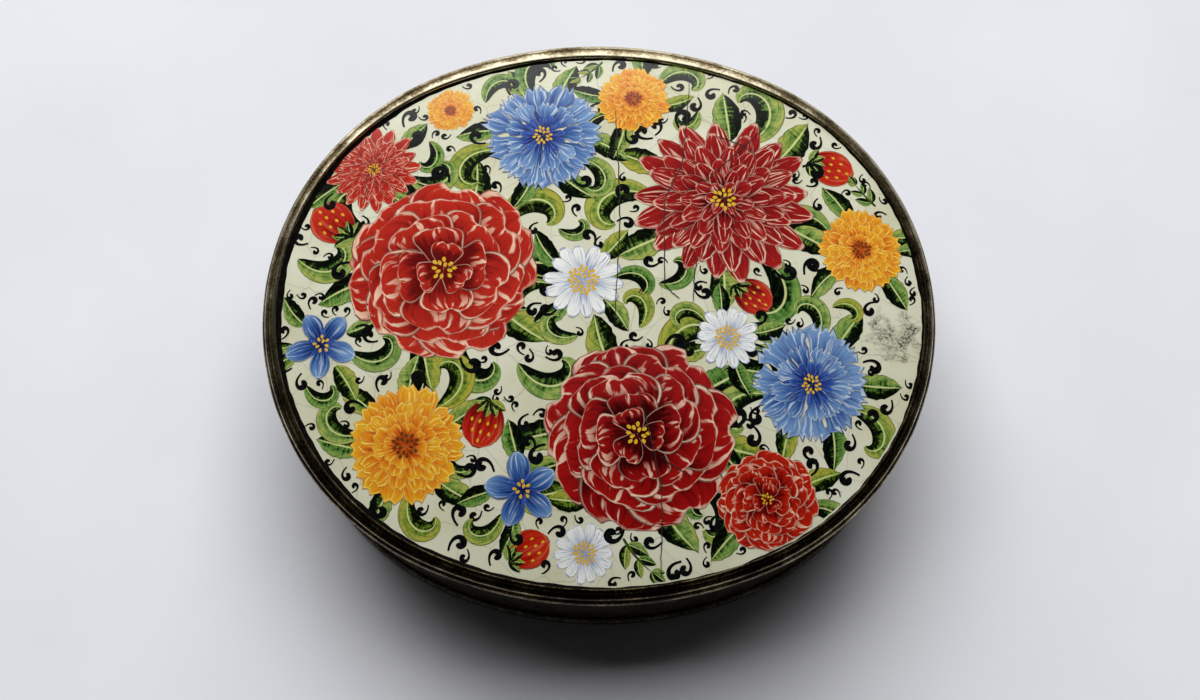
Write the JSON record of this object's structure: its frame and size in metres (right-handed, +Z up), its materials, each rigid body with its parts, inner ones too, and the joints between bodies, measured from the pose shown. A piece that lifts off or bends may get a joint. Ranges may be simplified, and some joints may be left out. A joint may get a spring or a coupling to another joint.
{
  "type": "oval enamelled keepsake box",
  "caption": "Oval keepsake box with a domed, flower-painted enamel lid in a reeded metal rim, hinged at the back to a plain straight-sided metal base on a narrow foot rim.",
  "frame": {"origin": "centre of the box on the table, at the foot rim's underside", "axes": "+X along the length, +Y to the back where the hinge is, +Z up; the front faces -Y"},
  "size_m": [0.085, 0.074, 0.028],
  "materials": {
    "dark_silver": "satin",
    "rim_silver": "satin",
    "inner_silver": "satin",
    "pin_wire": "satin",
    "white_enamel": "gloss",
    "copper": "satin"
  },
  "bodies": {
    "base": {"base_wall": "dark_silver", "foot_rim": "dark_silver", "bottom_plate": "dark_silver", "base_rim": "dark_silver", "collar": "inner_silver", "base_knuckle_left": "dark_silver", "base_knuckle_middle": "dark_silver", "base_knuckle_right": "dark_silver", "hinge_pin": "pin_wire"},
    "lid": {"lid_moulding": "rim_silver", "setting_strip": "rim_silver", "seat_frame": "inner_silver", "plaque_face": "white_enamel", "plaque_copper": "copper", "lid_knuckle_left": "dark_silver", "lid_knuckle_right": "dark_silver"}
  },
  "joints": [
    {"name": "lid_hinge", "type": "hinge", "parent": "base", "child": "lid", "pos_m": [0, 0.0361, 0.0205], "axis": [-1, 0, 0], "range_deg": [0, 100]}
  ]
}
